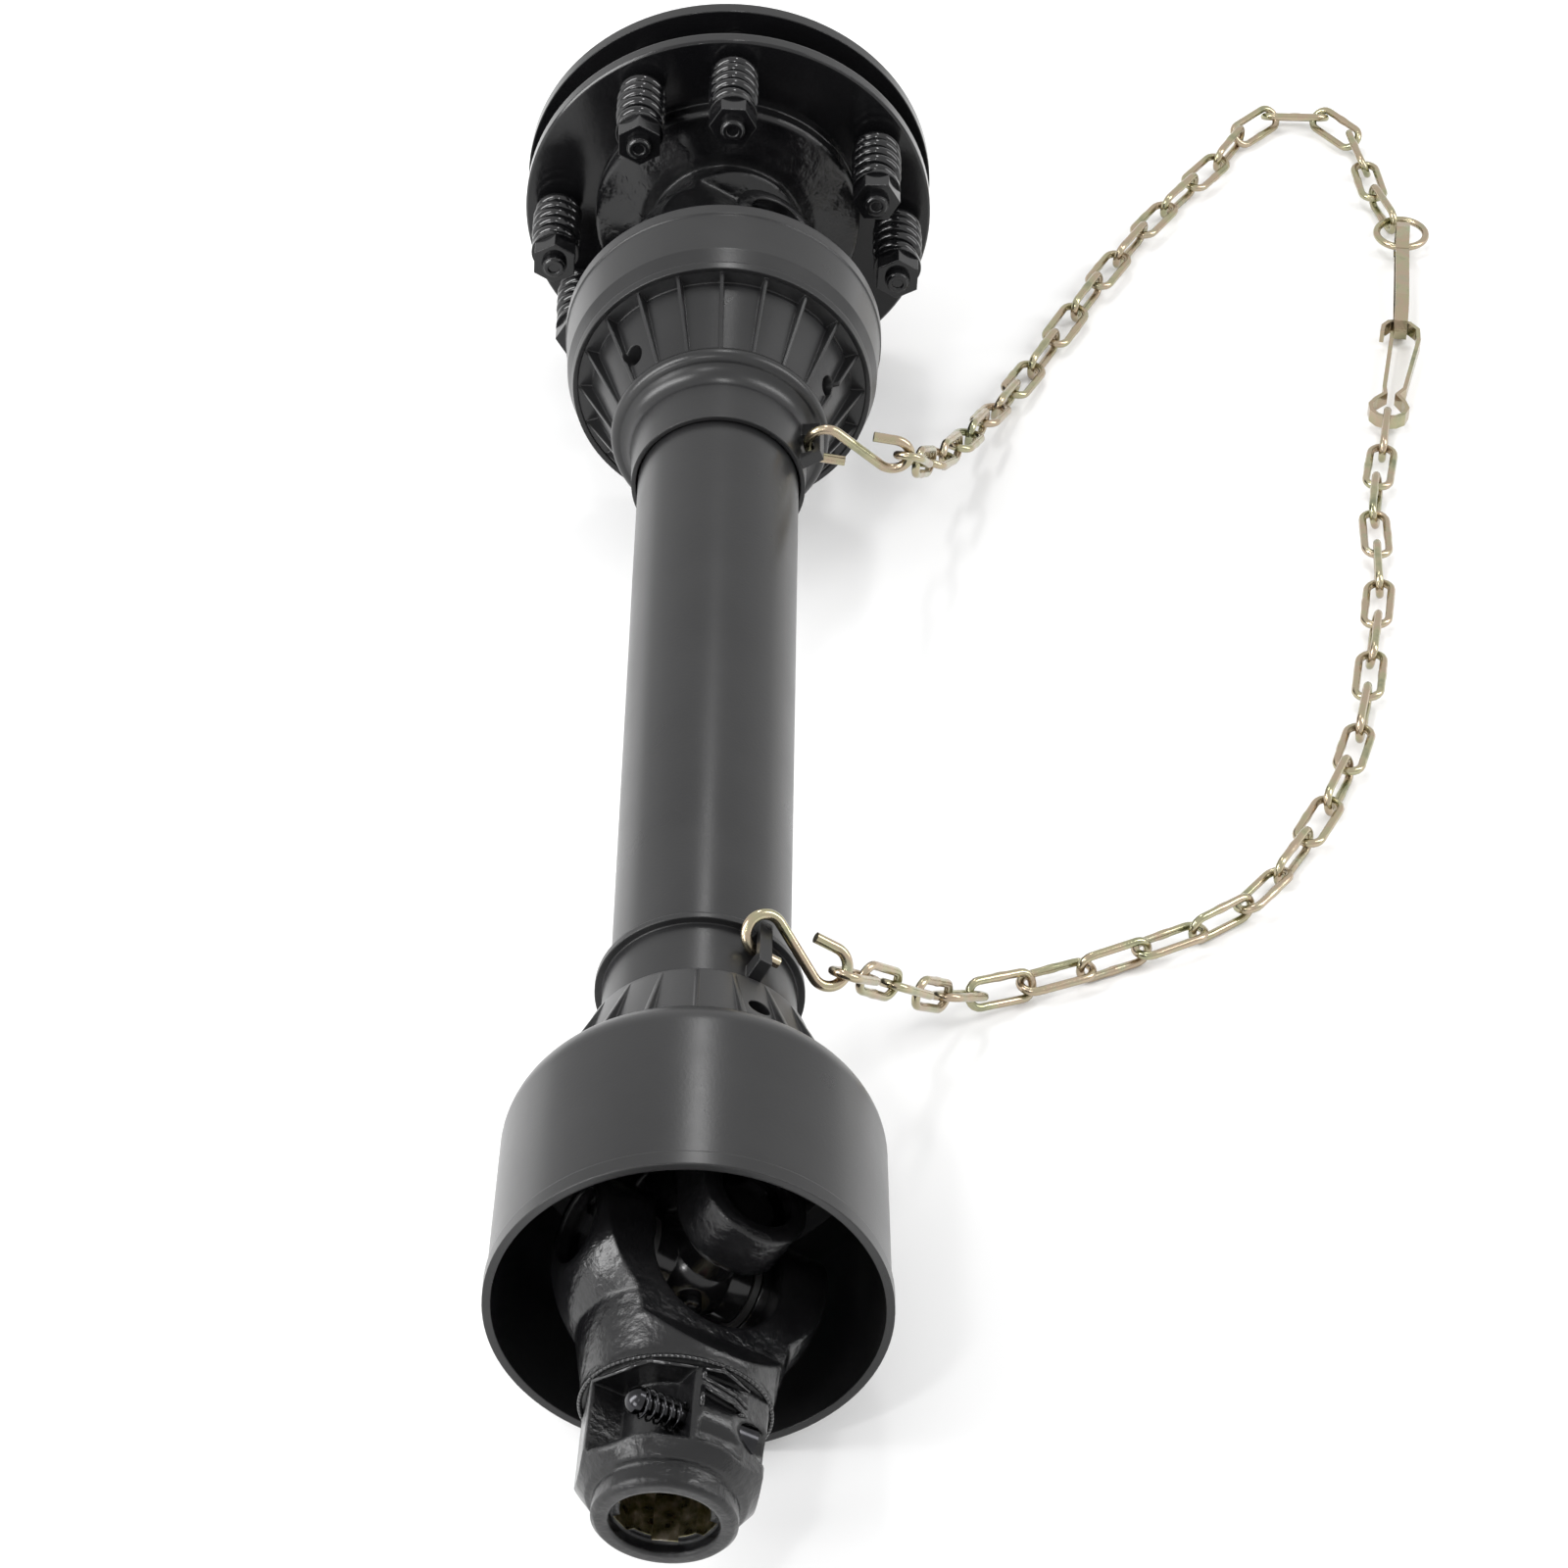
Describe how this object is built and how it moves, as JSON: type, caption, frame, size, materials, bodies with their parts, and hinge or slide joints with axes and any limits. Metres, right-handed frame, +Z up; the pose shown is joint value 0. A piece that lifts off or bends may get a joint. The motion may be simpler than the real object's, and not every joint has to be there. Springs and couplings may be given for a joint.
{
  "type": "pto drive shaft",
  "caption": "Telescoping farm drive shaft with universal joints, black plastic guard, quick-release splined yoke, friction clutch and safety chain",
  "frame": {"origin": "where the splines of the clutch hub's bore begin, on the shaft's axis", "axes": "+Y along the shaft and out of the clutch hub, +Z up as it lies on the ground, +X to the side of the chain"},
  "size_m": [0.4012, 0.9449, 0.1765],
  "materials": {
    "black_guard": "satin moulded",
    "inner_guard": "extruded",
    "nylon": "moulded",
    "black_paint": "gloss over forging",
    "bare_steel": "machined, oiled",
    "black_springs": "gloss",
    "spring_steel": "blued",
    "tube_steel": "drawn, greased",
    "seal": "matt",
    "zinc": "zinc plated",
    "cap": "moulded",
    "yellow_zinc": "yellow zinc plated",
    "friction": "pressed lining",
    "bronze": "sintered"
  },
  "bodies": {
    "far_guard": {"far_guard_cone": "black_guard", "far_guard_band": "black_guard", "inner_guard_tube": "inner_guard", "far_bearing_ring": "nylon", "far_s_hook": "yellow_zinc", "far_chain": "yellow_zinc", "far_snap_hook": "yellow_zinc", "chain_ring": "yellow_zinc"},
    "far_shaft": {"far_tube_yoke": "black_paint", "far_tube_yoke_cups": "bare_steel", "far_tube_yoke_snap_rings": "spring_steel", "far_roll_pin": "spring_steel", "inner_profile_tube": "tube_steel"},
    "far_cross": {"far_cross": "bare_steel", "far_cross_seals": "seal", "far_grease_nipple": "zinc"},
    "clutch_drive": {"clutch_yoke": "black_paint", "clutch_yoke_cups": "bare_steel", "clutch_yoke_snap_rings": "spring_steel", "rear_pressure_plate": "black_paint", "hub_bushing": "bronze", "clutch_bolts": "black_springs", "clutch_springs": "black_springs", "clutch_washers": "black_springs", "clutch_nuts": "black_springs"},
    "clutch_hub": {"clutch_hub": "bare_steel", "driven_disc": "bare_steel", "front_friction_disc": "friction", "rear_friction_disc": "friction", "hub_lock_bolt": "black_springs", "hub_lock_nut": "black_springs"},
    "near_shaft": {"near_tube_yoke": "black_paint", "near_tube_yoke_cups": "bare_steel", "near_tube_yoke_snap_rings": "spring_steel", "near_roll_pin": "spring_steel", "outer_profile_tube": "tube_steel"},
    "near_guard": {"near_guard_cone": "black_guard", "near_guard_bell": "black_guard", "outer_guard_tube": "black_guard", "near_bearing_ring": "nylon", "near_s_hook": "yellow_zinc", "near_chain": "yellow_zinc", "near_snap_hook": "yellow_zinc"},
    "near_cross": {"near_cross": "bare_steel", "near_cross_seals": "seal", "near_grease_nipple": "zinc", "near_nipple_cap": "cap"},
    "end_yoke": {"end_yoke": "black_paint", "end_yoke_cups": "bare_steel", "end_yoke_snap_rings": "spring_steel", "release_spring": "spring_steel"},
    "release_pin": {"release_pin": "spring_steel"}
  },
  "joints": [
    {"name": "shaft_spin", "type": "hinge", "parent": "far_guard", "child": "far_shaft", "pos_m": [0, -0.135, 0], "axis": [0, 1, 0], "continuous": true},
    {"name": "far_cross_swing", "type": "hinge", "parent": "far_shaft", "child": "far_cross", "pos_m": [0, -0.135, 0], "axis": [0.515, 0, 0.8572], "range_deg": [-25, 25]},
    {"name": "clutch_swing", "type": "hinge", "parent": "far_cross", "child": "clutch_drive", "pos_m": [0, -0.135, 0], "axis": [-0.8572, 0, 0.515], "range_deg": [-25, 25]},
    {"name": "clutch_slip", "type": "hinge", "parent": "clutch_drive", "child": "clutch_hub", "pos_m": [0, 0, 0], "axis": [0, 1, 0], "continuous": true},
    {"name": "telescope", "type": "slide", "parent": "far_shaft", "child": "near_shaft", "axis": [0, -1, 0], "range_m": [0, 0.2]},
    {"name": "near_guard_turn", "type": "hinge", "parent": "near_shaft", "child": "near_guard", "pos_m": [0, -0.7, 0], "axis": [0, 1, 0], "continuous": true},
    {"name": "near_cross_swing", "type": "hinge", "parent": "near_shaft", "child": "near_cross", "pos_m": [0, -0.7, 0], "axis": [0.515, 0, 0.8572], "range_deg": [-26.5, 23.5]},
    {"name": "end_yoke_swing", "type": "hinge", "parent": "near_cross", "child": "end_yoke", "pos_m": [0, -0.7, 0], "axis": [-0.8569, -0.0261, 0.5149], "range_deg": [-16, 34]},
    {"name": "pin_push", "type": "slide", "parent": "end_yoke", "child": "release_pin", "axis": [0.8569, 0.0261, -0.5149], "range_m": [0, 0.011], "stiffness_N_per_m": 900, "springref_m": -0.006, "deforming": ["release_spring"]}
  ],
  "couplings": [
    {"joint": "near_guard_turn", "follows": "shaft_spin", "ratio": -1}
  ]
}
